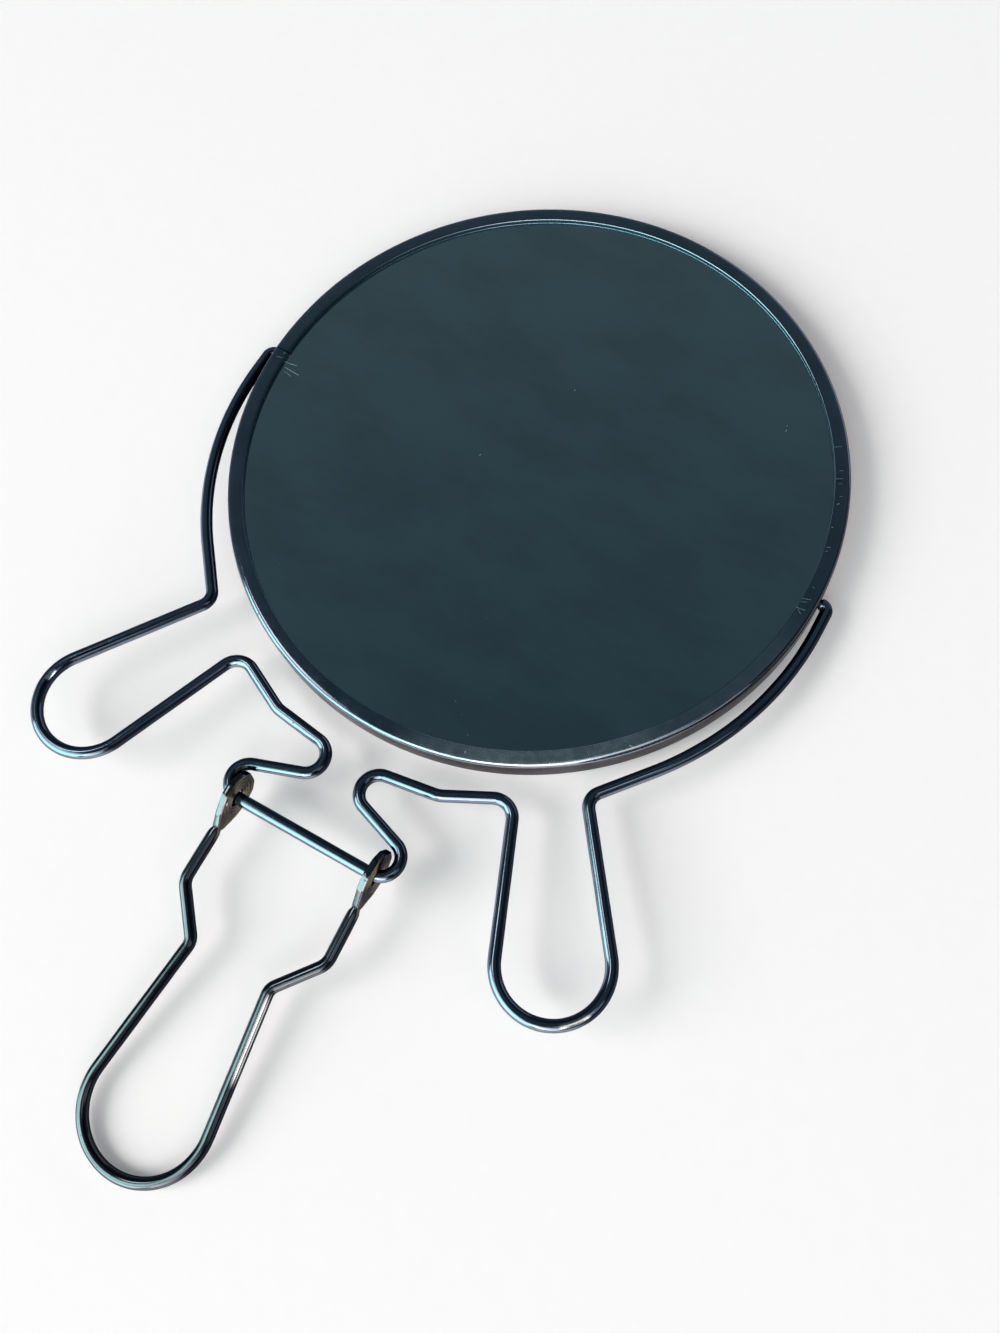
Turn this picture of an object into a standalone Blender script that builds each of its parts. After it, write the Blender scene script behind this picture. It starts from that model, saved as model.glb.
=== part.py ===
"""Round two-sided mirror in a folding wire frame.

The mirror head is a rolled steel rim that grips a plane glass in front and a magnifying glass at the back.
A single bent wire, the yoke, carries the head on two pins and ends below it in a crossbar. A second wire, the
leg, turns on that crossbar by its two flattened eyes. The head lies flat on a table here, with the yoke raised
a little and the loop of the leg resting on the table.

Metres, +Z up. The origin is below the middle of the whole object, on the table. +Y runs from the leg to the
head, and the pivot axis is parallel to X.
"""

import math

import bmesh
import bpy

# Clearance between two pieces that touch, and how far a cutter runs past what it cuts
FIT = 0.0003
OVERRUN = 0.0010

# Head: rim, two glasses and what keeps them apart
RIM_RADIUS = 0.0750
RIM_SHEET = 0.0005
RIM_CORNER = 0.0008
LIP_WIDTH = 0.0039
SEAM_GAP = 0.0002
GLASS_THICKNESS = 0.0017
GLASS_INSET = 0.0020
CROWN_CLEARANCE = 0.0005
SPACER_WIDTH = 0.0045
JOINT_SHEET = 0.0004
JOINT_LENGTH = 0.0160
JOINT_INSET = 0.0020

# Yoke wire: its two pins, then each bend in the order in which the wire meets it. The knee drops from the rim's
# edge above it, so that it stays clear of the rim
YOKE_WIRE = 0.0029
PIN_DIAMETER = 0.0018
PIN_LENGTH = 0.0047
PIN_STEP = 0.0002
ELBOW_BEND = 0.0017
ARM_BEND = 0.0749
ARM_DROP = 0.0062
HEEL_ANGLE = math.radians(-48.9)
HEEL_RUN = 0.0010
HEEL_BEND = 0.0035
FOOT_OUT = 0.0063
FOOT_DROP = 0.0349
FOOT_BEND = 0.0122
KNEE_IN = 0.0204
KNEE_DROP = 0.013131
KNEE_BEND = 0.0045
DIP_OUT = 0.0098
DIP_RISE = 0.0127
DIP_BEND = 0.0069
EAR_HALF_GAP = 0.0052
EAR_DROP = 0.0073
EAR_BEND = 0.0043
HOOK_OUT = 0.0081
HOOK_DROP = 0.0117

# Leg wire: its two flattened eyes, then its bends, measured from the crossbar
LEG_WIRE = 0.0028
EYE_DIAMETER = 0.0120
EYE_THICKNESS = 0.0017
EYE_EDGE = 0.0005
EYE_NECK = 0.0088
EYE_OUT = 0.0006
EYE_PLAY = 0.0005
EYE_CLEARANCE = 0.0009
NECK_OVERLAP = 0.0006
SHOULDER_OUT = 0.0004
SHOULDER_DROP = 0.0194
SHOULDER_BEND = 0.0046
WAIST_HALF = 0.0104
WAIST_DROP = 0.0323
WAIST_BEND = 0.0033
LOOP_DROP = 0.0651
LOOP_BEND = 0.0145

# How far the yoke is raised from the plane of the head while the leg rests on the table
YOKE_RAISE = math.radians(3.2)

# Fineness of round surfaces: the steps of a full turn, and how far a chord may lie inside its bend
HEAD_STEPS = 96
CORNER_STEPS = 4
DISH_STEPS = 4
EYE_STEPS = 24
PIN_STEPS = 24
WIRE_RESOLUTION = 3
CHORD_SAG = 0.00005
WIDEST_STEP = math.radians(18.0)

# Sizes that follow from the others
RIM_WALL_RADIUS = RIM_RADIUS - RIM_SHEET
GLASS_RADIUS = RIM_RADIUS - GLASS_INSET
GLASS_SPACE = PIN_DIAMETER + 2 * FIT
RIM_THICKNESS = 2 * (RIM_SHEET + FIT + GLASS_THICKNESS) + GLASS_SPACE
PIVOT_HEIGHT = RIM_THICKNESS / 2
PIVOT_HOLE = PIN_DIAMETER + 2 * FIT
DISH_DEPTH = GLASS_SPACE - CROWN_CLEARANCE
BACK_GLASS_HEIGHT = RIM_SHEET + FIT
FRONT_GLASS_HEIGHT = BACK_GLASS_HEIGHT + GLASS_THICKNESS + GLASS_SPACE
PIN_SHOULDER = RIM_RADIUS + FIT
PIN_END = PIN_SHOULDER - PIN_LENGTH
SPACER_RADIUS = PIN_END - FIT
EYE_HOLE = YOKE_WIRE + 2 * EYE_PLAY
HOOK_BEND = (EYE_DIAMETER / 2 + EYE_CLEARANCE + YOKE_WIRE / 2) / 2

# Bends as circles (x, y, radius, turn), where turn is 1 to the left and -1 to the right
LEFT, RIGHT = 1, -1
ELBOW = (PIN_SHOULDER + PIN_STEP, -ELBOW_BEND, ELBOW_BEND, RIGHT)
ARM = (ELBOW[0] + ELBOW_BEND - ARM_BEND, -ARM_DROP, ARM_BEND, RIGHT)
HEEL_REACH = ARM_BEND + HEEL_RUN + HEEL_BEND
HEEL = (
    ARM[0] + HEEL_REACH * math.cos(HEEL_ANGLE),
    ARM[1] + HEEL_REACH * math.sin(HEEL_ANGLE),
    HEEL_BEND,
    LEFT,
)
FOOT = (HEEL[0] + FOOT_OUT, HEEL[1] - FOOT_DROP, FOOT_BEND, RIGHT)
KNEE_X = HEEL[0] - KNEE_IN
RIM_BELOW_KNEE = RIM_RADIUS * math.cos(math.asin(KNEE_X / RIM_RADIUS))
KNEE = (KNEE_X, -RIM_BELOW_KNEE - KNEE_DROP, KNEE_BEND, LEFT)
EAR = (EAR_HALF_GAP + EAR_BEND, KNEE[1] - EAR_DROP, EAR_BEND, LEFT)
DIP = (EAR[0] + DIP_OUT, EAR[1] + DIP_RISE, DIP_BEND, RIGHT)
HOOK = (EAR[0] + HOOK_OUT, EAR[1] - HOOK_DROP, HOOK_BEND, RIGHT)
CROSSBAR_Y = HOOK[1] - HOOK_BEND
EYE_X = HOOK[0] + EYE_OUT
SHOULDER = (EYE_X + SHOULDER_OUT - SHOULDER_BEND, -SHOULDER_DROP, SHOULDER_BEND, RIGHT)
WAIST = (WAIST_HALF + WAIST_BEND, -WAIST_DROP, WAIST_BEND, LEFT)
LOOP = (0, -LOOP_DROP, LOOP_BEND, RIGHT)
LEG_LENGTH = LOOP_DROP + LOOP_BEND

# Rest pose: the loop of the leg touches the table, and the whole object is centred over the origin
CROSSBAR_HEIGHT = PIVOT_HEIGHT - CROSSBAR_Y * math.sin(YOKE_RAISE)
LEG_SLOPE = math.asin((CROSSBAR_HEIGHT - LEG_WIRE / 2) / LEG_LENGTH)
LEG_REACH = (
    LEG_LENGTH * math.cos(LEG_SLOPE) + LEG_WIRE / 2 - CROSSBAR_Y * math.cos(YOKE_RAISE)
)
HEAD_Y = (LEG_REACH - RIM_RADIUS) / 2


def clear_scene():
    for item in list(bpy.data.objects):
        bpy.data.objects.remove(item, do_unlink=True)


def material(name, colour, roughness, metallic):
    made = bpy.data.materials.new(name)
    made.use_nodes = True
    shader = made.node_tree.nodes["Principled BSDF"]
    shader.inputs["Base Color"].default_value = (*colour, 1.0)
    shader.inputs["Roughness"].default_value = roughness
    shader.inputs["Metallic"].default_value = metallic
    return made


def add_object(name, data, look=None, parent=None, location=(0, 0, 0)):
    made = bpy.data.objects.new(name, data)
    bpy.context.scene.collection.objects.link(made)
    made.parent = parent
    made.location = location
    if look:
        data.materials.append(look)
    return made


def add_mesh(name, shape, *placing):
    """An object from a bmesh, with its faces turned outward and its round sides shaded smooth."""
    bmesh.ops.recalc_face_normals(shape, faces=shape.faces)
    data = bpy.data.meshes.new(name)
    shape.to_mesh(data)
    shape.free()
    data.shade_smooth()
    data.set_sharp_from_angle(angle=math.radians(35))
    return add_object(name, data, *placing)


def boolean(target, tool, operation):
    """Cuts the tool from the target or joins it on, and keeps the tool as a hidden guide."""
    tool.hide_render = True
    tool.display_type = "WIRE"
    change = target.modifiers.new(tool.name, "BOOLEAN")
    change.operation = operation
    change.solver = "EXACT"
    change.object = tool


def turned(profile, steps, start=0, sweep=2 * math.pi):
    """A bmesh of the profile, (radius, height) points, turned about Z. A partial sweep gets its two end faces."""
    whole = math.isclose(sweep, 2 * math.pi)
    shape = bmesh.new()
    poles = [shape.verts.new((0, 0, z)) if r == 0 else None for r, z in profile]
    rings = []
    for step in range(steps + (not whole)):
        angle = start + sweep * step / steps
        rings.append(
            [
                pole or shape.verts.new((r * math.cos(angle), r * math.sin(angle), z))
                for pole, (r, z) in zip(poles, profile)
            ]
        )
    pairs = list(zip(rings, rings[1:] + rings[:1]))
    for ring, following in pairs if whole else pairs[:-1]:
        for a in range(len(profile)):
            b = (a + 1) % len(profile)
            if poles[a] and poles[b]:
                continue
            corners = [ring[a], ring[b], following[b], following[a]]
            shape.faces.new(list(dict.fromkeys(corners)))
    if not whole:
        shape.faces.new(rings[0])
        shape.faces.new(rings[-1])
    return shape


def quarter(centre_r, centre_z, radius, first, steps):
    """The points of a quarter circle, counter-clockwise from the angle first."""
    angles = [first + math.pi / 2 * step / steps for step in range(steps + 1)]
    return [(centre_r + radius * math.cos(a), centre_z + radius * math.sin(a)) for a in angles]


def rim_profile():
    """The rim's channel section: a side wall with a rolled corner and a lip above and below."""
    lip_end = RIM_RADIUS - LIP_WIDTH
    low, high = RIM_CORNER, RIM_THICKNESS - RIM_CORNER
    inside = RIM_CORNER - RIM_SHEET
    corner = RIM_RADIUS - RIM_CORNER
    outer = quarter(corner, low, RIM_CORNER, -math.pi / 2, CORNER_STEPS)
    outer += quarter(corner, high, RIM_CORNER, 0, CORNER_STEPS)
    inner = quarter(corner, low, inside, -math.pi / 2, CORNER_STEPS)
    inner += quarter(corner, high, inside, 0, CORNER_STEPS)
    lips = [(lip_end, RIM_THICKNESS), (lip_end, RIM_THICKNESS - RIM_SHEET)]
    return [(lip_end, 0), *outer, *lips, *reversed(inner), (lip_end, RIM_SHEET)]


def dish_height(radius):
    """Height of the magnifying glass's hollow back face above its edge."""
    return DISH_DEPTH * (1 - (radius / GLASS_RADIUS) ** 2)


def dish_profile():
    radii = [GLASS_RADIUS * step / DISH_STEPS for step in range(DISH_STEPS + 1)]
    back = [(r, BACK_GLASS_HEIGHT + dish_height(r)) for r in radii]
    return back + [(r, z + GLASS_THICKNESS) for r, z in reversed(back)]


def spacer_profile():
    """The ring's section, flat against the plane glass and following the dish below."""
    inner = SPACER_RADIUS - SPACER_WIDTH
    low = BACK_GLASS_HEIGHT + GLASS_THICKNESS + FIT
    high = FRONT_GLASS_HEIGHT - FIT
    return [
        (inner, low + dish_height(inner)),
        (SPACER_RADIUS, low + dish_height(SPACER_RADIUS)),
        (SPACER_RADIUS, high),
        (inner, high),
    ]


def rod_along_x(name, diameter, first_x, last_x, *placing):
    """A round bar along X between two places, its centre line on the parent's X axis."""
    shape = bmesh.new()
    bmesh.ops.create_cone(
        shape,
        cap_ends=True,
        segments=PIN_STEPS,
        radius1=diameter / 2,
        radius2=diameter / 2,
        depth=abs(last_x - first_x),
    )
    rod = add_mesh(name, shape, *placing)
    rod.rotation_euler.y = math.pi / 2
    rod.location.x += (first_x + last_x) / 2
    return rod


def heading_between(bend, following):
    """The direction of the straight run that leaves one bend and meets the next."""
    along_x = following[0] - bend[0]
    along_y = following[1] - bend[1]
    offset = following[2] * following[3] - bend[2] * bend[3]
    sine = offset / math.hypot(along_x, along_y)
    return math.atan2(along_y, along_x) - math.asin(max(-1, min(1, sine)))


def bent_path(start, bends, end):
    """Points (x, y) of a wire that runs from start, round each bend in turn, to end."""
    stops = [(*start, 0, LEFT), *bends, (*end, 0, LEFT)]
    headings = [heading_between(a, b) for a, b in zip(stops, stops[1:])]
    points = [start]
    for (x, y, radius, turn), arriving, leaving in zip(bends, headings, headings[1:]):
        swing = turn * (leaving - arriving) % (2 * math.pi)
        widest = min(WIDEST_STEP, 2 * math.acos(1 - CHORD_SAG / radius))
        steps = math.ceil(swing / widest)
        for step in range(steps + 1):
            heading = arriving + turn * swing * step / steps
            reach = radius * turn
            points.append((x + reach * math.sin(heading), y - reach * math.cos(heading)))
    return points + [end]


def both_sides(half):
    """The half path on the right, and then its mirror image back to the left."""
    return half + [(-x, y, size) for x, y, size in reversed(half[:-1])]


def wire(name, path, diameter, *placing):
    """A round wire along (x, y, share of the diameter) points, as a curve with closed ends."""
    data = bpy.data.curves.new(name, "CURVE")
    data.dimensions = "3D"
    data.bevel_depth = diameter / 2
    data.bevel_resolution = WIRE_RESOLUTION
    data.use_fill_caps = True
    spline = data.splines.new("POLY")
    spline.points.add(len(path) - 1)
    for point, (x, y, share) in zip(spline.points, path):
        point.co = (x, y, 0, 1)
        point.radius = share
    spline.use_smooth = True
    return add_object(name, data, *placing)


def as_mesh(curve_object):
    """The same object with its curve turned into a mesh, so that it can take a Boolean."""
    name, look, parent = curve_object.name, curve_object.data.materials[0], curve_object.parent
    graph = bpy.context.evaluated_depsgraph_get()
    data = bpy.data.meshes.new_from_object(curve_object.evaluated_get(graph))
    bpy.data.objects.remove(curve_object, do_unlink=True)
    data.materials.clear()
    return add_object(name, data, look, parent)


def make_head(plated, front_silver, back_silver, board, steel):
    place = (None, (0, HEAD_Y, 0))
    seam = SEAM_GAP / RIM_RADIUS
    rim_shape = turned(rim_profile(), HEAD_STEPS, math.pi + seam / 2, 2 * math.pi - seam)
    rim = add_mesh("rim_band", rim_shape, plated, *place)

    plane = [
        (0, FRONT_GLASS_HEIGHT),
        (GLASS_RADIUS, FRONT_GLASS_HEIGHT),
        (GLASS_RADIUS, FRONT_GLASS_HEIGHT + GLASS_THICKNESS),
        (0, FRONT_GLASS_HEIGHT + GLASS_THICKNESS),
    ]
    add_mesh("plane_glass", turned(plane, HEAD_STEPS), front_silver, *place)
    add_mesh("magnifying_glass", turned(dish_profile(), HEAD_STEPS), back_silver, *place)
    add_mesh("spacer_ring", turned(spacer_profile(), HEAD_STEPS), board, *place)

    plate_outer = RIM_WALL_RADIUS - FIT
    plate_inner = plate_outer - JOINT_SHEET
    plate = [
        (plate_inner, JOINT_INSET),
        (plate_outer, JOINT_INSET),
        (plate_outer, RIM_THICKNESS - JOINT_INSET),
        (plate_inner, RIM_THICKNESS - JOINT_INSET),
    ]
    sweep = JOINT_LENGTH / plate_outer
    plate_shape = turned(plate, CORNER_STEPS * 2, math.pi - sweep / 2, sweep)
    joint = add_mesh("joint_plate", plate_shape, steel, *place)

    reach = RIM_RADIUS + OVERRUN
    hole_place = (None, None, (0, HEAD_Y, PIVOT_HEIGHT))
    holes = rod_along_x("pivot_holes", PIVOT_HOLE, -reach, reach, *hole_place)
    boolean(rim, holes, "DIFFERENCE")
    boolean(joint, holes, "DIFFERENCE")


def make_yoke(plated):
    """The yoke in its own plane, its origin midway between the two pins."""
    axis = add_object("yoke_axis", None, None, None, (0, HEAD_Y, PIVOT_HEIGHT))
    axis.rotation_euler.x = -YOKE_RAISE
    pin = PIN_DIAMETER / YOKE_WIRE
    bends = [ELBOW, ARM, HEEL, FOOT, KNEE, DIP, EAR, HOOK]
    start = (PIN_END, 0)
    points = bent_path(start, bends, (0, CROSSBAR_Y))
    half = [(PIN_END, 0, pin), (PIN_SHOULDER, 0, pin)]
    half += [(x, y, 1) for x, y in points[1:]]
    wire("yoke_wire", both_sides(half), YOKE_WIRE, plated, axis)
    return axis


def eye_shape(eye_x):
    """A flat round eye about the crossbar with a neck that narrows into the wire."""
    radius = EYE_DIAMETER / 2
    neck_end = EYE_NECK + NECK_OVERLAP
    neck_half = LEG_WIRE / 2 - NECK_OVERLAP
    open_half = math.acos(radius / neck_end)
    outline = [(-neck_half, -neck_end), (neck_half, -neck_end)]
    for step in range(EYE_STEPS + 1):
        angle = open_half + 2 * (math.pi - open_half) * step / EYE_STEPS
        outline.append((radius * math.sin(angle), -radius * math.cos(angle)))
    shape = bmesh.new()
    inner_x = eye_x - EYE_THICKNESS / 2
    corners = [shape.verts.new((inner_x, y, z)) for z, y in outline]
    face = shape.faces.new(corners)
    grown = bmesh.ops.extrude_face_region(shape, geom=[face])
    moved = [item for item in grown["geom"] if isinstance(item, bmesh.types.BMVert)]
    bmesh.ops.translate(shape, verts=moved, vec=(EYE_THICKNESS, 0, 0))
    bmesh.ops.recalc_face_normals(shape, faces=shape.faces)
    edges = [edge for edge in shape.edges if abs(edge.verts[0].co.x - edge.verts[1].co.x) < FIT]
    bmesh.ops.bevel(shape, geom=edges, offset=EYE_EDGE, segments=1, affect="EDGES")
    return shape


def make_leg(plated, yoke_axis):
    """The leg in its own plane, its origin in the middle of the crossbar."""
    axis = add_object("leg_axis", None, None, yoke_axis, (0, CROSSBAR_Y, 0))
    axis.rotation_euler.x = YOKE_RAISE + LEG_SLOPE
    tip = (EYE_X, -EYE_DIAMETER / 2)
    points = bent_path(tip, [SHOULDER, WAIST, LOOP], (0, -LEG_LENGTH))
    thin = (EYE_THICKNESS - 2 * FIT) / LEG_WIRE
    neck_x = EYE_X + (points[1][0] - EYE_X) * (EYE_NECK + tip[1]) / (tip[1] - points[1][1])
    half = [(*tip, thin), (neck_x, -EYE_NECK, 1)]
    half += [(x, y, 1) for x, y in points[1:]]
    leg = as_mesh(wire("leg_wire", both_sides(half), LEG_WIRE, plated, axis))
    for side, eye_x in (("right", EYE_X), ("left", -EYE_X)):
        eye = add_mesh(side + "_eye", eye_shape(eye_x), plated, axis)
        boolean(leg, eye, "UNION")
    for side, eye_x in (("right", EYE_X), ("left", -EYE_X)):
        reach = EYE_THICKNESS / 2 + OVERRUN
        hole = rod_along_x(side + "_eye_hole", EYE_HOLE, eye_x - reach, eye_x + reach, None, axis)
        boolean(leg, hole, "DIFFERENCE")


def main():
    clear_scene()
    plated = material("plated_steel", (0.34, 0.39, 0.47), 0.12, 1.0)
    leg_plating = material("plated_leg_wire", (0.33, 0.37, 0.44), 0.14, 1.0)
    rim_plating = material("plated_rim", (0.42, 0.47, 0.54), 0.10, 1.0)
    front_silver = material("plane_mirror", (0.72, 0.80, 0.81), 0.02, 1.0)
    back_silver = material("magnifying_mirror", (0.74, 0.80, 0.81), 0.02, 1.0)
    board = material("fibreboard", (0.36, 0.27, 0.18), 0.9, 0.0)
    steel = material("bare_steel", (0.52, 0.56, 0.60), 0.35, 1.0)
    make_head(rim_plating, front_silver, back_silver, board, steel)
    yoke_axis = make_yoke(plated)
    make_leg(leg_plating, yoke_axis)


main()
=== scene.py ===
"""Looks of the round two-sided mirror in a folding wire frame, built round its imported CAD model.

Sizes of the object are in millimetres until a mesh, a mask or the camera is made from them. The
studio's are in metres. Angles are in degrees until a sine or a cosine is taken.
"""

import math

import bmesh
import bpy
from mathutils import Matrix, Vector, noise


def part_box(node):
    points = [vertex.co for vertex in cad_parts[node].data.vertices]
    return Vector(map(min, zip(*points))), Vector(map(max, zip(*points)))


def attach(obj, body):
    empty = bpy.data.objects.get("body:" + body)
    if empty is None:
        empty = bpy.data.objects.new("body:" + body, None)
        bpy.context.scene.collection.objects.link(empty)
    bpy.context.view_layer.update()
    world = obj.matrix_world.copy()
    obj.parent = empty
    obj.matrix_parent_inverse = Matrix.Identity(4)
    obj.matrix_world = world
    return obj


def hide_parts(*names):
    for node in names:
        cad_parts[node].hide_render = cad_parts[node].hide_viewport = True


MM = 0.001

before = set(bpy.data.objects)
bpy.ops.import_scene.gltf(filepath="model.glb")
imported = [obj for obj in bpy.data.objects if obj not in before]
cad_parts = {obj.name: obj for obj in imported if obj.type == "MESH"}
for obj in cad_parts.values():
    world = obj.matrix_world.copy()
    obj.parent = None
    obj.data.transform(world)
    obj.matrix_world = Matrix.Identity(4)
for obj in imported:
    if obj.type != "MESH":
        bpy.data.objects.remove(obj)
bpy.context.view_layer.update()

# The head's place comes from the CAD rim. Its other sizes repeat the CAD's, but for a wider seam
rim_low, rim_high = (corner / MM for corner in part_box("rim_band"))
HEAD = (rim_low + rim_high) / 2
RIM_RADIUS = (rim_high.x - rim_low.x) / 2
RIM_HEIGHT = rim_high.z - rim_low.z
RIM_SHEET = 0.5
LIP_WIDTH = 3.9
SEAM_ANGLE = 180.0
SEAM_GAP = 0.22
GLASS_RADIUS = 73.0
GLASS_THICKNESS = 1.7

# The rim's section. Its front corner is fuller than the CAD's, for the two bright lines on it
BACK_CORNER = 0.8
FRONT_CORNER = 1.5
INNER_CORNER = 0.3
ROUND = 2
FULL = 2.6
LIP_STOPS = (2.1, 2.8)
HEM_ROLL = 0.20
HEM_END = 6.36
HEM_CHAMFER = 0.08
HEM_THICKNESS = 0.3
HEM_RUN_OUT = (0.42, 0.62)

# How far the rim's sheet is from true: size and number of waves, and at the seam size and reach
LIP_CURL = (0.035, 4)
RIM_SWELL = (0.03, 3)
SEAM_DENT = (-0.22, 1.6)
SEAM_RISE = (0.06, 3.0)

# How far the plane glass lies under the lip's sheet, how much thinner than the CAD's it is, and the
# ground edge of both glasses
GLASS_DROP = 0.65
GLASS_CUT = 0.35
GROUND_EDGE = 0.25

# A bend is (x, y, radius, turn) of its arc, and the turn is 1 to the left and -1 to the right
YOKE_WIRE = 2.9
PIN = 1.8
PIN_END = 70.6
PIN_SHOULDER = 75.3
YOKE_RAISE = 3.2
YOKE_BENDS = [
    (75.5, -1.7, 1.7, -1),
    (2.3, -6.2, 74.9, -1),
    (54.496, -66.033, 3.5, 1),
    (60.796, -100.933, 12.2, -1),
    (34.096, -79.933, 4.5, 1),
    (19.3, -74.533, 6.9, -1),
    (9.5, -87.233, 4.3, 1),
    (17.6, -98.933, 4.175, -1),
]
CROSSBAR_Y = -103.108

# Where the yoke's wire thins to its pin, as lengths in from the shoulder and along the taper
BEND_START = 0.4
TAPER_START = 0.5
TAPER_LENGTH = 0.7
PIN_HALF_BAND = 0.5
PIN_STEPS = 3

LEG_WIRE = 2.8
LEG_SLOPE = 5.808
LEG_BENDS = [(14.0, -19.4, 4.6, -1), (13.7, -32.3, 3.3, 1), (0, -65.1, 14.5, -1)]
LEG_END = -79.6
EYE_X = 18.2
EYE_RADIUS = 6.0
EYE_THICKNESS = 1.7
EYE_HOLE = 1.95
EYE_NECK = 8.8

# Where the leg's wire is hammered flat beside its eye, and how much thinner and lower it gets
TIP_INSET = 0.6
NECK_LEAD = 0.3
NECK_LENGTH = 1.5
NECK_THINNER = 0.1
NECK_LOWER = 0.3

# The hammered eye: its corners (angle, reach), which of them lean to a side, and its worn face
# as (reach past the hole, half thickness)
NECK_ANGLE = 8
NECK_REACH = 8.2
CORNER_LEAN = 6
EYE_CORNERS = [
    (46, 6.12, True),
    (84, 6.03, False),
    (116, 6.20, True),
    (150, 6.12, False),
    (180, 6.20, True),
    (212, 6.12, False),
    (243, 6.18, True),
    (275, 6.12, False),
    (312, 6.08, False),
]
EYE_BLUR = 3
EYE_BEVEL = 0.40
EYE_BEVEL_WAVE = 0.12
EYE_GROOVES = [
    (0, 0.30),
    (0.15, 0.62),
    (0.45, 0.83),
    (0.95, 0.60),
    (1.40, 0.80),
    (1.90, 0.60),
    (2.40, 0.80),
]
LAST_GROOVE = (0.75, 0.64)

# How much thinner than the CAD's the swept wires are on each side, and how far they waver
WIRE_INSET = 0.012
WIRE_WAVER = 0.025
WAVER_LENGTH = 9.0

SOFT_EDGE = 40
GLASS_EDGE = 25
EYE_EDGE = 28

YOKE_PLACE = Matrix.Translation(HEAD) @ Matrix.Rotation(math.radians(-YOKE_RAISE), 4, "X")
CROSSBAR = YOKE_PLACE @ Vector((0, CROSSBAR_Y, 0))
LEG_PLACE = Matrix.Translation(CROSSBAR) @ Matrix.Rotation(math.radians(LEG_SLOPE), 4, "X")


# Meshes


def piece(name, points, faces, look, body, node, slot, sharp=SOFT_EDGE):
    """Makes a mesh from points in millimetres, which rides on a body and stands for a CAD node."""
    data = bpy.data.meshes.new(name)
    data.from_pydata([Vector(p) * MM for p in points], [], faces)
    data.validate()
    shape = bmesh.new()
    shape.from_mesh(data)
    bmesh.ops.recalc_face_normals(shape, faces=shape.faces)
    shape.to_mesh(data)
    shape.free()
    data.shade_smooth()
    data.set_sharp_from_angle(angle=math.radians(sharp))
    data.materials.append(look)
    made = bpy.data.objects.new(name, data)
    bpy.context.scene.collection.objects.link(made)
    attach(made, body)
    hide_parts(node)


def band(rings, closed, start=0):
    """Faces between rings of equally many points, and if closed from the last ring to the first."""
    count = len(rings[0])
    pairs = list(zip(range(len(rings)), range(1, len(rings))))
    if closed:
        pairs.append((len(rings) - 1, 0))
    faces = []
    for a, b in pairs:
        first, second = start + a * count, start + b * count
        for i in range(count):
            j = (i + 1) % count
            faces.append([first + i, first + j, second + j, second + i])
    return faces


def capped(rings):
    """Points and faces of a tube with both its ends closed."""
    count = len(rings[0])
    last = (len(rings) - 1) * count
    faces = band(rings, False)
    faces.append(list(range(count)))
    faces.append([last + i for i in range(count)])
    return [p for ring in rings for p in ring], faces


def on_oval(angle, square):
    """A point of an oval with half widths of 1. A squareness of 2 makes it a circle."""
    c, s = math.cos(angle), math.sin(angle)
    across = math.copysign(abs(c) ** (2 / square), c)
    up = math.copysign(abs(s) ** (2 / square), s)
    return across, up


def heading_between(bend, following):
    """The direction of the straight run that leaves one bend and meets the next."""
    along_x, along_y = following[0] - bend[0], following[1] - bend[1]
    offset = following[2] * following[3] - bend[2] * bend[3]
    sine = offset / math.hypot(along_x, along_y)
    return math.atan2(along_y, along_x) - math.asin(max(-1, min(1, sine)))


def bent_path(start, bends, end, run=1.2, swing_step=3.0):
    """Closely spaced points (x, y) of a wire from start, round each bend in turn, to end."""
    stops = [(*start, 0, 1), *bends, (*end, 0, 1)]
    headings = [heading_between(a, b) for a, b in zip(stops, stops[1:])]
    arcs = [[Vector(start)]]
    for (x, y, radius, turn), arriving, leaving in zip(bends, headings, headings[1:]):
        swing = turn * (leaving - arriving) % (2 * math.pi)
        by_angle = math.ceil(math.degrees(swing) / swing_step)
        steps = max(1, by_angle, math.ceil(swing * radius / run))
        arc = []
        for step in range(steps + 1):
            angle = arriving + turn * swing * step / steps
            across, back = radius * turn * math.sin(angle), radius * turn * math.cos(angle)
            arc.append(Vector((x + across, y - back)))
        arcs.append(arc)
    arcs.append([Vector(end)])
    points = [arcs[0][0]]
    for before, after in zip(arcs, arcs[1:]):
        gap = after[0] - before[-1]
        steps = max(1, math.ceil(gap.length / run))
        points += [before[-1] + gap * step / steps for step in range(1, steps)]
        points += after
    return points


def both_sides(half):
    """A path from its right end to the middle, and on to the left end as its mirror image."""
    return half + [Vector((-p.x, p.y)) for p in reversed(half[:-1])]


def sweep(path, section, place, sides=32):
    """Rings round a flat path. section(point) gives half widths in and across its plane, and a
    squareness.
    """
    rings = []
    for i, point in enumerate(path):
        ahead = path[min(i + 1, len(path) - 1)]
        behind = path[max(i - 1, 0)]
        tangent = (ahead - behind).normalized()
        side = Vector((-tangent.y, tangent.x, 0))
        half_side, half_up, square = section(point)
        middle = Vector((point.x, point.y, 0))
        ring = []
        for k in range(sides):
            across, up = on_oval(2 * math.pi * k / sides, square)
            lift = Vector((0, 0, up * half_up))
            ring.append(place @ (middle + side * (across * half_side) + lift))
        rings.append(ring)
    return rings


def waver(seed, point):
    """How far a wire's side is from true at a point, the same at every run."""
    spot = Vector((point.x / WAVER_LENGTH, point.y / WAVER_LENGTH, seed))
    return WIRE_WAVER * noise.noise(spot)


# Materials


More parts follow.
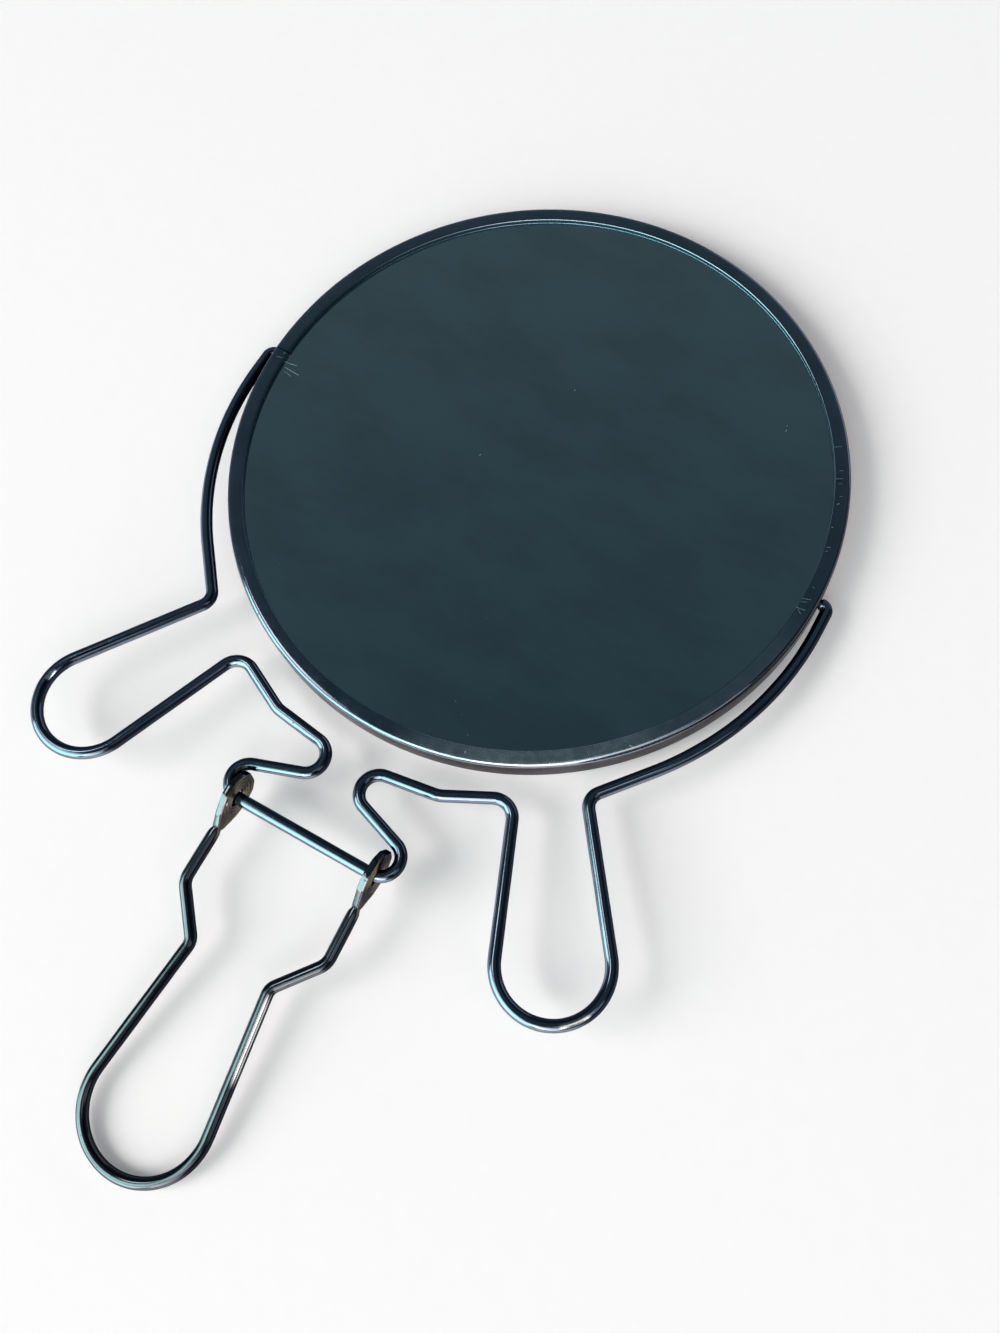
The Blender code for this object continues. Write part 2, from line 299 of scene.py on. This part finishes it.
class Look:
    """A material's node tree, with short calls for the nodes that these looks need."""

    def __init__(self, name, **values):
        self.material = bpy.data.materials.new(name)
        self.material.use_nodes = True
        self.nodes = self.material.node_tree.nodes
        self.links = self.material.node_tree.links
        self.shader = self.nodes["Principled BSDF"]
        for key, value in values.items():
            self.shader.inputs[key.replace("_", " ")].default_value = value
        place = self.nodes.new("ShaderNodeTexCoord")
        self.place = place.outputs["Object"]
        self.normal = place.outputs["Normal"]

    def feed(self, socket, value):
        if isinstance(value, bpy.types.NodeSocket):
            self.links.new(value, socket)
        else:
            socket.default_value = value

    def node(self, kind, feeds, output=0, **settings):
        made = self.nodes.new("ShaderNode" + kind)
        for key, value in settings.items():
            setattr(made, key, value)
        for key, value in feeds.items():
            self.feed(made.inputs[key], value)
        return made.outputs[output]

    def math(self, operation, *values):
        return self.node("Math", dict(enumerate(values)), operation=operation)

    def vector(self, operation, *values, output=0):
        return self.node("VectorMath", dict(enumerate(values)), output, operation=operation)

    def noise(self, scale, detail=3.0, roughness=0.5, stretch=(1, 1, 1)):
        stretched = self.vector("MULTIPLY", self.place, stretch)
        feeds = {"Vector": stretched, "Scale": scale, "Detail": detail, "Roughness": roughness}
        return self.node("TexNoise", feeds)

    def within(self, value, low, high, to_low=0.0, to_high=1.0):
        """The value's smooth step from low to high, taken to another range."""
        feeds = {"Value": value, "From Min": low, "From Max": high}
        feeds.update({"To Min": to_low, "To Max": to_high})
        return self.node("MapRange", feeds, interpolation_type="SMOOTHSTEP")

    def steep(self, axis):
        """How far the surface faces along an axis, either way."""
        return self.math("ABSOLUTE", self.node("SeparateXYZ", {0: self.normal}, "XYZ".index(axis)))

    def facing(self, direction):
        """How far the surface faces one way."""
        return self.vector("DOT_PRODUCT", self.normal, direction, output=1)

    def near(self, place, reach, core):
        """A mask round a place in millimetres, whole inside a share of its reach."""
        away = self.vector("DISTANCE", self.place, tuple(place * MM), output=1)
        return self.within(away, reach * core * MM, reach * MM, 1.0, 0.0)

    def mix(self, share, first, second):
        """A blend of two colours, each a socket or (red, green, blue)."""
        first, second = ((*c, 1) if isinstance(c, tuple) else c for c in (first, second))
        return self.node("Mix", {0: share, 6: first, 7: second}, 2, data_type="RGBA")

    def raised(self, value, mask, amount):
        """The value, higher by an amount where the mask is 1."""
        return self.math("ADD", value, self.math("MULTIPLY", mask, amount))

    def bump(self, height, distance, strength=1.0):
        return self.node("Bump", {"Strength": strength, "Distance": distance, "Height": height})

    def strokes(self, marks, height):
        """A mask of scratches (angle, radius, length, width, tilt) round the head's middle."""
        total = None
        for angle, radius, length, width, tilt in marks:
            at, along = math.radians(angle), math.radians(angle + tilt)
            middle = HEAD + Vector((math.cos(at), math.sin(at), 0)) * radius
            middle.z = height
            half = Vector((math.cos(along), math.sin(along), 0)) * length / 2
            start, run = (middle - half) * MM, half * 2 * MM
            offset = self.vector("SUBTRACT", self.place, tuple(start))
            passed = self.vector("DOT_PRODUCT", offset, tuple(run), output=1)
            share = self.node("Clamp", {"Value": self.math("DIVIDE", passed, run.length_squared)})
            nearest = self.vector("MULTIPLY", tuple(run), share)
            away = self.vector("LENGTH", self.vector("SUBTRACT", offset, nearest), output=1)
            mask = self.within(away, 0.35 * width * MM, width * MM, 1.0, 0.0)
            total = mask if total is None else self.math("MAXIMUM", total, mask)
        return total

    def dress(self, **sockets):
        for key, value in sockets.items():
            self.feed(self.shader.inputs[key.replace("_", " ")], value)
        return self.material


# The side toward the lamps. Plating that faces it is painted lighter, as a painted highlight
LAMP_SIDE = (-0.28, -0.96, 0.0)
PIT = (0.05, 0.035, 0.025)
LIP_SCRATCH = (0.62, 0.70, 0.72)
# Painted shade on the inner side of the lip's hem, and painted shade and highlight on its roll
HEM_PAINTED_SHADE = (0.030, 0.060, 0.085)
HEM_ROLL_SHADE = (0.05, 0.08, 0.10)
HEM_ROLL_HIGHLIGHT = (0.45, 0.54, 0.64)
PLATING_RELIEF = 0.00001

DUST = (0.75, 0.80, 0.80)
GLASS_SCRATCH = (0.72, 0.82, 0.82)
GLASS_SCRATCH_DEPTH = 1.15
GLASS_RELIEF = 0.00002


def rim_painted_shade(look, tone, shine, upright, toward_lamps, cloud, wall):
    """Painted shade on the rim's outer wall and on the hem inside its lip, darker and less even
    than its top, and a painted highlight on the hem's roll where it faces the lamps.
    """
    outer = look.within(upright, 0.10, 0.35, 1.0, 0.0)
    side = look.math("MULTIPLY", outer, look.within(cloud, 0.2, 0.6, 0.7, 1.0))
    tone = look.mix(side, tone, wall)
    shine = look.raised(shine, side, 0.12)
    outward = look.vector("SUBTRACT", look.place, tuple(HEAD * MM))
    turned_in = (-0.35 * RIM_RADIUS * MM, -0.15 * RIM_RADIUS * MM)
    inner = look.within(look.facing(outward), *turned_in, 1.0, 0.0)
    roll = look.mix(look.within(toward_lamps, 0.05, 0.50), HEM_ROLL_SHADE, HEM_ROLL_HIGHLIGHT)
    hem = look.mix(look.within(upright, 0.15, 0.45), HEM_PAINTED_SHADE, roll)
    shine = look.raised(shine, inner, look.within(upright, 0.15, 0.45, 0.42, 0.22))
    return look.mix(inner, tone, hem), shine


def plating(name, lit_tone, dull, rough, edge, marks=(), stains=(), painted_highlights=(), wall=None):
    """Old bright plating with scratches, pits and dull spots, and with painted highlight and shade:
    its colour is lighter on top and on the side toward the lamps, and darker elsewhere.

    A stain is (place, reach, colour). A painted highlight is (place, reach, colour, way it faces,
    least share of that way). A wall is the painted shade colour of the rim's outer side.
    """
    look = Look(name, Metallic=1.0, Specular_Tint=(*edge, 1))
    upright = look.steep("Z")
    toward_lamps = look.facing(LAMP_SIDE)
    # Painted highlight and shade: the top and the side toward the lamps get the lighter tone, other
    # sides the darker one, which also serves for dull spots
    lit_top, lit_side = look.within(upright, 0.92, 0.99), look.within(toward_lamps, 0.12, 0.45)
    tone = look.mix(look.math("MAXIMUM", lit_top, lit_side), dull, lit_tone)
    cloud = look.noise(90.0, 4.0, 0.6)
    tone = look.mix(look.within(cloud, 0.35, 0.75, 0.0, 0.25), tone, dull)
    pits = look.within(look.noise(900.0, 2.0, 0.5), 0.70, 0.76)
    tone = look.mix(look.math("MULTIPLY", pits, 0.6), tone, PIT)
    shine = look.within(look.noise(260.0, 5.0, 0.65), 0.3, 0.7, rough * 0.7, rough * 1.4)
    hairs = look.noise(1500.0, 2.0, 0.5, (1.0, 0.06, 1.0))
    cross = look.noise(1500.0, 2.0, 0.5, (0.06, 1.0, 1.0))
    height = look.math("ADD", hairs, cross)
    height = look.math("ADD", height, look.noise(140.0, 2.0, 0.5))
    # The rim's outer wall gets painted shade, and its hem painted shade and highlight
    if wall:
        tone, shine = rim_painted_shade(look, tone, shine, upright, toward_lamps, cloud, wall)
    flank = look.steep("X")
    for place, reach, colour in stains:
        stain = look.math("MULTIPLY", look.near(place, reach, 0.7), look.within(flank, 0.55, 0.85))
        share = look.math("MULTIPLY", stain, look.within(cloud, 0.2, 0.5, 0.6, 1.0))
        tone = look.mix(share, tone, colour)
        shine = look.raised(shine, stain, 0.10)
    # Painted highlights: lighter patches where the surface faces a lamp
    for place, reach, colour, way, least in painted_highlights:
        turned = look.within(look.facing(way), least, 0.5 + 0.5 * least)
        patch = look.math("MULTIPLY", look.near(place, reach, 0.6), turned)
        share = look.math("MULTIPLY", patch, look.within(cloud, 0.3, 0.5, 0.7, 1.0))
        tone = look.mix(share, tone, colour)
        shine = look.raised(shine, patch, 0.08)
    if marks:
        mask = look.strokes(marks, RIM_HEIGHT)
        tone = look.mix(mask, tone, LIP_SCRATCH)
        shine = look.raised(shine, mask, 0.35)
        height = look.math("SUBTRACT", height, mask)
    relief = look.bump(height, PLATING_RELIEF, 0.4)
    return look.dress(Base_Color=tone, Roughness=shine, Normal=relief)


def silvering(name, colour, marks=()):
    """A silvered glass seen through its clear face, with faint clouding, dust and a few chips."""
    look = Look(name, Metallic=1.0)
    cloud = look.noise(38.0, 4.0, 0.6, (1.0, 2.2, 1.0))
    dull = tuple(0.86 * c for c in colour)
    tone = look.mix(look.within(cloud, 0.35, 0.7), colour, dull)
    dust = look.within(look.noise(1100.0, 1.0, 0.4), 0.80, 0.83)
    tone = look.mix(look.math("MULTIPLY", dust, 0.12), tone, DUST)
    shine = look.within(look.noise(60.0, 4.0, 0.6), 0.3, 0.7, 0.015, 0.05)
    shine = look.raised(shine, dust, 0.25)
    if marks:
        mask = look.strokes(marks, RIM_HEIGHT - GLASS_SCRATCH_DEPTH)
        tone = look.mix(mask, tone, GLASS_SCRATCH)
        shine = look.raised(shine, mask, 0.5)
    relief = look.bump(look.noise(30.0, 1.0, 0.4), GLASS_RELIEF, 0.3)
    return look.dress(Base_Color=tone, Roughness=shine, Normal=relief)


LIP_MARKS = [
    (30.5, 72.2, 1.7, 0.11, 0),
    (25.5, 72.6, 0.9, 0.10, 0),
    (23.8, 72.1, 1.5, 0.12, 5),
    (22.8, 72.4, 0.9, 0.08, -6),
    (20.2, 72.7, 0.6, 0.10, 10),
    (18.6, 72.2, 0.5, 0.20, 30),
    (13.7, 71.8, 0.3, 0.16, 0),
    (9.6, 72.1, 0.9, 0.10, 14),
    (8.7, 71.8, 0.7, 0.08, 10),
    (1.1, 72.3, 0.5, 0.10, 0),
    (-1.5, 72.1, 1.9, 0.12, 18),
    (-2.2, 71.9, 1.2, 0.09, 24),
    (-3.7, 72.0, 1.9, 0.13, 10),
    (-4.3, 72.1, 1.1, 0.09, -30),
    (-43.7, 74.0, 1.4, 0.12, 35),
    (-72.9, 72.8, 0.5, 0.10, 0),
    (181.8, 72.2, 1.4, 0.09, 8),
    (180.5, 71.5, 0.7, 0.20, 20),
]
GLASS_MARKS = [
    (181.8, 69.3, 3.4, 0.16, 4),
    (183.3, 67.8, 4.2, 0.16, -9),
    (184.2, 68.4, 2.2, 0.09, -14),
    (193.1, 13.4, 0.35, 0.12, 60),
    (92.4, 23.2, 0.35, 0.12, 10),
    (35.9, 61.1, 0.6, 0.12, 50),
    (37.1, 61.6, 0.4, 0.10, 50),
    (-39.4, 71.4, 1.6, 0.10, 80),
]
BROWN = (0.17, 0.15, 0.115)
UP = (0, 0, 1)

EYE_STAINS = [(LEG_PLACE @ Vector((side * EYE_X, -1, 0)), 10.0, BROWN) for side in (1, -1)]
# Painted highlights on the leg and the yoke, as light patches which face the lamps
LEG_HIGHLIGHTS = [
    (LEG_PLACE @ Vector((11.7, -42, 1)), 11.0, (0.92, 0.91, 0.90), (0.50, -0.05, 0.865), 0.82),
]
YOKE_HIGHLIGHTS = [
    (YOKE_PLACE @ Vector((70.2, -108.8, 1)), 3.8, (0.96, 0.90, 0.83), (0.22, -0.10, 0.97), 0.90),
    (YOKE_PLACE @ Vector((-73.0, -99.8, 1)), 2.0, (0.93, 0.96, 1.0), (0.45, 0.0, 0.893), 0.90),
]
# Painted highlights on the rim's front lip and corner, as light patches facing up
RIM_HIGHLIGHTS = [
    (HEAD + Vector((58, -48, 3.7)), 52.0, (0.62, 0.66, 0.70), UP, 0.96),
    (HEAD + Vector((36, -66, 3.7)), 36.0, (0.70, 0.75, 0.80), UP, 0.80),
]
RIM_EDGE = (0.50, 0.49, 0.50)
WIRE_EDGE = (0.22, 0.24, 0.32)

# Each plating's first colour is its painted lit tone, its second its painted shade tone, also used
# for dull spots
rim_plating = plating(
    "rim_plating",
    (0.36, 0.41, 0.49),
    (0.09, 0.10, 0.13),
    0.10,
    RIM_EDGE,
    marks=LIP_MARKS,
    painted_highlights=RIM_HIGHLIGHTS,
    # The outer wall's painted shade colour
    wall=(0.085, 0.075, 0.07),
)
yoke_plating = plating(
    "yoke_plating", (0.33, 0.39, 0.48), (0.035, 0.045, 0.065), 0.12, WIRE_EDGE, painted_highlights=YOKE_HIGHLIGHTS
)
leg_plating = plating(
    "leg_plating",
    (0.25, 0.27, 0.29),
    (0.026, 0.031, 0.040),
    0.12,
    WIRE_EDGE,
    stains=EYE_STAINS,
    painted_highlights=LEG_HIGHLIGHTS,
)
front_silver = silvering("plane_silver", (0.72, 0.80, 0.81), GLASS_MARKS)
back_silver = silvering("magnifying_silver", (0.74, 0.80, 0.81))


# The head


def quarter(size, middle, z, first, square, steps=10):
    """Points (radius, height) of a quarter turn of one size, from a first angle."""
    points = []
    for step in range(steps + 1):
        across, up = on_oval(math.radians(first + 90 * step / steps), square)
        points.append((middle + size * across, z + size * up))
    return points


def back_lip_edge(lip, steps=6):
    """The half round edge of the back lip."""
    edge = RIM_SHEET / 2
    points = []
    for step in range(steps + 1):
        angle = math.radians(90 + 180 * step / steps)
        points.append((lip + edge + edge * math.cos(angle), edge + edge * math.sin(angle)))
    return points


def front_hem(lip, steps=6):
    """The front lip's rolled edge, which turns down to the glass and back under the lip."""
    points = []
    for step in range(steps + 1):
        angle = math.radians(90 / steps * step)
        across = lip + HEM_ROLL - HEM_ROLL * math.sin(angle)
        points.append((across, RIM_HEIGHT - HEM_ROLL + HEM_ROLL * math.cos(angle)))
    points += [(lip, HEM_END + HEM_CHAMFER), (lip + HEM_CHAMFER, HEM_END)]
    points += [(lip + HEM_THICKNESS, HEM_END), (lip + HEM_RUN_OUT[0], RIM_HEIGHT - HEM_RUN_OUT[1])]
    return points


def rim_section(curl):
    """The rim's channel section as (radius, height). curl lifts the front lip's inner edge."""
    lip = RIM_RADIUS - LIP_WIDTH
    wall = RIM_RADIUS - RIM_SHEET
    front = RIM_HEIGHT - FRONT_CORNER
    outer = quarter(BACK_CORNER, RIM_RADIUS - BACK_CORNER, BACK_CORNER, -90, ROUND)
    outer += quarter(FRONT_CORNER, RIM_RADIUS - FRONT_CORNER, front, 0, FULL)
    inner = quarter(INNER_CORNER, wall - INNER_CORNER, RIM_SHEET + INNER_CORNER, -90, ROUND)
    inner += quarter(FRONT_CORNER - RIM_SHEET, wall - FRONT_CORNER + RIM_SHEET, front, 0, FULL)
    run = [RIM_RADIUS - stop for stop in LIP_STOPS]
    section = outer + [(r, RIM_HEIGHT) for r in run] + front_hem(lip)
    section += [(r, RIM_HEIGHT - RIM_SHEET) for r in reversed(run)] + list(reversed(inner))
    section += [(r, RIM_SHEET) for r in run] + back_lip_edge(lip) + [(r, 0) for r in reversed(run)]
    lifted = []
    for r, z in section:
        share = max(0.0, (RIM_RADIUS - FRONT_CORNER - r) / (LIP_WIDTH - FRONT_CORNER)) ** 2
        lifted.append((r, z + curl * share * (1 if z > RIM_HEIGHT / 2 else 0)))
    return lifted


def make_rim(steps=480):
    """The rim, open at its seam. It has no pivot holes, so the yoke's pins pass through it."""
    gap = math.degrees(SEAM_GAP / RIM_RADIUS)
    rings = []
    for step in range(steps + 1):
        along = step / steps
        angle = math.radians(SEAM_ANGLE + gap / 2 + (360 - gap) * along)
        spot = Vector((math.cos(angle), math.sin(angle)))
        from_seam = min(along, 1 - along) * 2 * math.pi * RIM_RADIUS
        size, reach = SEAM_DENT if along < 0.5 else SEAM_RISE
        bent = size * math.exp(-from_seam / reach)
        size, waves = LIP_CURL
        curl = size * noise.noise(Vector((spot.x * waves, spot.y * waves, 3.1))) + bent
        size, waves = RIM_SWELL
        swell = size * noise.noise(Vector((spot.x * waves, spot.y * waves, 7.7))) - size / 2
        ring = []
        for radius, z in rim_section(curl):
            away = radius + swell
            ring.append(Vector((HEAD.x + spot.x * away, HEAD.y + spot.y * away, z)))
        rings.append(ring)
    points, faces = capped(rings)
    piece("rim", points, faces, rim_plating, "mirror", "rim_band", "rim_plating")


def disc(profile, steps=144):
    """A solid turned about the head's axis from (radius, height) points, which end on the axis."""
    rings = []
    for step in range(steps):
        angle = 2 * math.pi * step / steps
        spot = Vector((math.cos(angle), math.sin(angle), 0))
        rings.append([Vector((HEAD.x, HEAD.y, z)) + spot * r for r, z in profile[1:-1]])
    count = len(rings[0])
    points = [p for ring in rings for p in ring]
    poles = len(points), len(points) + 1
    points += [Vector((HEAD.x, HEAD.y, profile[end][1])) for end in (0, -1)]
    faces = []
    for step in range(steps):
        a, b = step * count, (step + 1) % steps * count
        for i in range(count - 1):
            faces.append([a + i, a + i + 1, b + i + 1, b + i])
        faces.append([poles[0], a, b])
        faces.append([poles[1], b + count - 1, a + count - 1])
    return points, faces


def make_plane_glass(steps=12):
    top = RIM_HEIGHT - RIM_SHEET - GLASS_DROP
    base = top - GLASS_THICKNESS + GLASS_CUT
    face = GLASS_RADIUS - GROUND_EDGE
    radii = [GLASS_RADIUS * share / steps for share in range(steps)]
    profile = [(r, base) for r in radii] + [(face, base), (GLASS_RADIUS, base + GROUND_EDGE)]
    profile += [(GLASS_RADIUS, top - GROUND_EDGE), (face, top)]
    profile += [(r, top) for r in reversed(radii)]
    look = front_silver, "mirror", "plane_glass", "plane_silver"
    piece("plane_mirror", *disc(profile), *look, sharp=GLASS_EDGE)


def make_magnifying_glass(steps=28):
    low, high = (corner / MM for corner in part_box("magnifying_glass"))
    depth = high.z - low.z - GLASS_THICKNESS
    radii = [(GLASS_RADIUS - GROUND_EDGE) * share / steps for share in range(steps + 1)]
    dish = [(r, low.z + depth * (1 - (r / GLASS_RADIUS) ** 2)) for r in radii]
    edge = [(GLASS_RADIUS, low.z + z) for z in (GROUND_EDGE, GLASS_THICKNESS - GROUND_EDGE)]
    profile = dish + edge + [(r, z + GLASS_THICKNESS) for r, z in reversed(dish)]
    look = back_silver, "mirror", "magnifying_glass", "magnifying_silver"
    piece("magnifying_mirror", *disc(profile), *look, sharp=GLASS_EDGE)


# The wires


def yoke_section(point):
    if abs(point.y) < PIN_HALF_BAND:
        past_start = abs(point.x) - PIN_SHOULDER + TAPER_START
        share = min(1, max(0, past_start / TAPER_LENGTH))
        size = PIN / 2 + (YOKE_WIRE - PIN) / 2 * math.sin(share * math.pi / 2)
        return size, size, ROUND
    size = YOKE_WIRE / 2 - WIRE_INSET
    return size + waver(1.3, point), size + waver(5.9, point), ROUND


def make_yoke():
    start = PIN_SHOULDER - BEND_START
    half = bent_path((start, 0), YOKE_BENDS, (0, CROSSBAR_Y))
    pin = [Vector((PIN_END + (start - PIN_END) * s / PIN_STEPS, 0)) for s in range(PIN_STEPS)]
    points, faces = capped(sweep(both_sides(pin + half), yoke_section, YOKE_PLACE))
    piece("yoke", points, faces, yoke_plating, "yoke", "yoke_wire", "yoke_plating")


def eye_outline(side):
    """Corners (angle, reach) of one hammered eye, from its neck at 0 degrees and round to 360."""
    turn = CORNER_LEAN * side
    corners = [(angle + turn if leans else angle, reach) for angle, reach, leans in EYE_CORNERS]
    neck = [(angle, NECK_REACH) for angle in (-NECK_ANGLE, NECK_ANGLE, 360 - NECK_ANGLE)]
    return neck[:2] + corners + neck[2:]


def eye_reach(corners, angle):
    """How far the eye's outline lies from the middle of its hole in one direction."""
    for (a, ra), (b, rb) in zip(corners, corners[1:]):
        if a <= angle <= b:
            span = math.radians(b - a)
            past_a, up_to_b = math.radians(angle - a), math.radians(b - angle)
            return ra * rb * math.sin(span) / (ra * math.sin(past_a) + rb * math.sin(up_to_b))
    return corners[0][1]


def eye_rings(side, steps=120):
    """Rings of the section of one hammered eye, taken round its hole."""
    corners = eye_outline(side)
    half = EYE_THICKNESS / 2
    rings = []
    for step in range(steps):
        angle = 360 * step / steps
        shifts = (-EYE_BLUR, 0, EYE_BLUR)
        near = [(angle + shift + NECK_ANGLE) % 360 - NECK_ANGLE for shift in shifts]
        outer = sum(eye_reach(corners, a) for a in near) / len(near)
        spot = Vector((0, -math.cos(math.radians(angle)), math.sin(math.radians(angle))))
        bevel = EYE_BEVEL + EYE_BEVEL_WAVE * math.sin(math.radians(angle * 3 + 40 * side))
        rim = outer - bevel
        face = [(EYE_HOLE + reach, x) for reach, x in EYE_GROOVES]
        face += [(rim - LAST_GROOVE[0], LAST_GROOVE[1]), (rim, half)]
        face += [(outer - 0.30 * bevel, half - 0.12), (outer, half - 0.38)]
        profile = [(r, -x) for r, x in face] + [(r, x) for r, x in reversed(face)]
        section = [Vector((side * EYE_X + x, 0, 0)) + spot * r for r, x in profile]
        rings.append([LEG_PLACE @ point for point in section])
    return rings


def leg_section(point):
    size = LEG_WIRE / 2 - WIRE_INSET
    flat = min(1, max(0, (point.y + EYE_NECK + NECK_LEAD) / NECK_LENGTH))
    wide, up = size + waver(2.1, point), size + waver(8.4, point)
    thinner = size - EYE_THICKNESS / 2 + NECK_THINNER
    return wide - flat * thinner, up - flat * NECK_LOWER, ROUND + flat


def make_leg():
    tip = (EYE_X, -EYE_RADIUS + TIP_INSET)
    path = both_sides(bent_path(tip, LEG_BENDS, (0, LEG_END)))
    points, faces = capped(sweep(path, leg_section, LEG_PLACE))
    for side in (1, -1):
        rings = eye_rings(side)
        faces += band(rings, True, len(points))
        points += [p for ring in rings for p in ring]
    piece("leg", points, faces, leg_plating, "leg", "leg_wire", "leg_plating", EYE_EDGE)


def dress_hidden_pieces():
    """Gives the two pieces that no view shows their own materials."""
    board = Look("fibreboard", Roughness=0.9)
    fibre = board.noise(700.0, 5.0, 0.7, (1.0, 0.3, 1.0))
    tone = board.mix(board.within(fibre, 0.3, 0.7), (0.22, 0.16, 0.10), (0.36, 0.27, 0.18))
    board.dress(Base_Color=tone, Normal=board.bump(fibre, 0.0001))
    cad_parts["spacer_ring"].data.materials[0] = board.material
    steel = Look("bare_steel", Metallic=1.0)
    grain = steel.noise(1200.0, 3.0, 0.5, (1.0, 0.05, 1.0))
    tone = steel.mix(steel.within(grain, 0.3, 0.7), (0.40, 0.42, 0.44), (0.52, 0.55, 0.58))
    steel.dress(Base_Color=tone, Roughness=steel.within(grain, 0.3, 0.7, 0.3, 0.5))
    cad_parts["joint_plate"].data.materials[0] = steel.material


# The studio

FLOOR_RADIUS = 6.0
FLOOR_SIDES = 96
FLOOR_DROP = 0.0003
FLOOR_TONES = (0.942, 0.858, 0.860), (0.972, 0.888, 0.890)
FLOOR_GLOW = 0.18
LAMP_TARGET = Vector((0, 0, 0.01))

SKY = (0.70, 1.0, 0.94)
COOL = (0.92, 0.98, 1.0)
# Name, azimuth, elevation, distance, width, height, colour, radiance, and the rays that miss it
LAMPS = [
    ("window", -66, 34, 5.0, 2.4, 4.4, (1.0, 0.97, 0.94), 2.7, None),
    ("sky_window", -120, 27, 5.0, 6.8, 4.9, SKY, 2.6, None),
    ("bank", -175, 62, 2.4, 0.5, 0.5, COOL, 2.3, "visible_diffuse"),
    ("ceiling", -25, 66, 2.4, 0.8, 0.8, COOL, 0.9, "visible_diffuse"),
    ("sky_top", -124, 57, 2.4, 1.3, 0.45, SKY, 1.6, "visible_diffuse"),
    ("spot", -10, 43, 2.4, 0.8, 0.8, (1.0, 0.96, 0.94), 2.4, None),
    ("far_sky", 75, 10, 2.8, 2.4, 0.8, (0.80, 0.86, 1.0), 2.0, None),
    ("key", -138, 33, 5.2, 2.9, 2.9, (1.0, 0.93, 0.93), 8.3, "visible_glossy"),
]

# The world's colour by height, from the horizon at 0 to straight up at 1. The ramp comes with two
# stops, which take the first and the last height
WORLD_ENDS = [(0.26, (0.24, 0.26, 0.29, 1)), (0.97, (0.026, 0.048, 0.063, 1))]
WORLD_STOPS = [(0.58, (0.055, 0.085, 0.104, 1)), (0.77, (0.049, 0.077, 0.093, 1))]

# The camera that fits the photograph: its focal length in pixels, its place from the head's
# middle in millimetres, and the directions of its picture
PHOTO_HEIGHT = 1333
FOCAL_PIXELS = 1224.9
SENSOR = 36.0
CAMERA_OFFSET = Vector((82.82, -116.72, 265.62))
CAMERA_RIGHT = Vector((0.86735, 0.49028, -0.08557))
CAMERA_DOWN = Vector((0.44051, -0.83628, -0.32648))
CAMERA_FORWARD = Vector((-0.23163, 0.24547, -0.94132))


def lamp(name, azimuth, elevation, distance, width, height, colour, radiance, missed_by):
    """A flat rectangular lamp that faces the object, given by its brightness as seen."""
    data = bpy.data.lights.new(name, "AREA")
    data.shape = "RECTANGLE"
    data.size, data.size_y = width, height
    data.color = colour
    data.energy = radiance * math.pi * width * height
    made = bpy.data.objects.new(name, data)
    bpy.context.scene.collection.objects.link(made)
    a, e = math.radians(azimuth), math.radians(elevation)
    away = Vector((math.cos(a) * math.cos(e), math.sin(a) * math.cos(e), math.sin(e)))
    made.location = LAMP_TARGET + away * distance
    made.rotation_mode = "QUATERNION"
    made.rotation_quaternion = away.to_track_quat("Z", "Y")
    made.visible_camera = False
    if missed_by:
        setattr(made, missed_by, False)


def make_floor():
    data = bpy.data.meshes.new("floor")
    shape = bmesh.new()
    bmesh.ops.create_circle(shape, cap_ends=True, segments=FLOOR_SIDES, radius=FLOOR_RADIUS)
    shape.to_mesh(data)
    shape.free()
    floor = bpy.data.objects.new("floor", data)
    bpy.context.scene.collection.objects.link(floor)
    floor.location.z = -FLOOR_DROP
    paper = Look("pale_paper", Roughness=0.9, Specular_IOR_Level=0.1)
    paper.dress(Base_Color=paper.mix(paper.noise(220.0, 4.0, 0.6), *FLOOR_TONES))
    path = paper.nodes.new("ShaderNodeLightPath")
    seen = paper.math("MAXIMUM", path.outputs["Is Camera Ray"], path.outputs["Is Glossy Ray"])
    seen = paper.math("MAXIMUM", seen, path.outputs["Is Transmission Ray"])
    glow = paper.node("Emission", {"Color": (1, 1, 1, 1), "Strength": 1.0})
    share = paper.math("MULTIPLY", seen, FLOOR_GLOW)
    blend = paper.node("MixShader", {0: share, 1: paper.shader.outputs[0], 2: glow})
    paper.links.new(blend, paper.nodes["Material Output"].inputs[0])
    data.materials.append(paper.material)


def make_world():
    world = bpy.data.worlds.new("studio")
    world.use_nodes = True
    bpy.context.scene.world = world
    nodes, links = world.node_tree.nodes, world.node_tree.links
    back = nodes["Background"]
    place = nodes.new("ShaderNodeTexCoord")
    split = nodes.new("ShaderNodeSeparateXYZ")
    links.new(place.outputs["Generated"], split.inputs[0])
    ramp = nodes.new("ShaderNodeValToRGB")
    links.new(split.outputs["Z"], ramp.inputs[0])
    stops = ramp.color_ramp.elements
    for stop, (height, colour) in zip(stops, WORLD_ENDS):
        stop.position, stop.color = height, colour
    for height, colour in WORLD_STOPS:
        stops.new(height).color = colour
    links.new(ramp.outputs[0], back.inputs[0])
    back.inputs[1].default_value = 1.0


def make_camera():
    data = bpy.data.cameras.new("camera")
    data.sensor_width = SENSOR
    data.lens = SENSOR * FOCAL_PIXELS / PHOTO_HEIGHT
    data.clip_start, data.clip_end = 0.01, 30
    camera = bpy.data.objects.new("camera", data)
    bpy.context.scene.collection.objects.link(camera)
    turn = Matrix((CAMERA_RIGHT, -CAMERA_DOWN, -CAMERA_FORWARD)).transposed().to_4x4()
    camera.matrix_world = Matrix.Translation((HEAD + CAMERA_OFFSET) * MM) @ turn
    bpy.context.scene.camera = camera


make_rim()
make_plane_glass()
make_magnifying_glass()
make_yoke()
make_leg()
dress_hidden_pieces()
make_floor()
for settings in LAMPS:
    lamp(*settings)
make_world()
make_camera()
bpy.context.scene.view_settings.view_transform = "Standard"

bpy.context.view_layer.update()
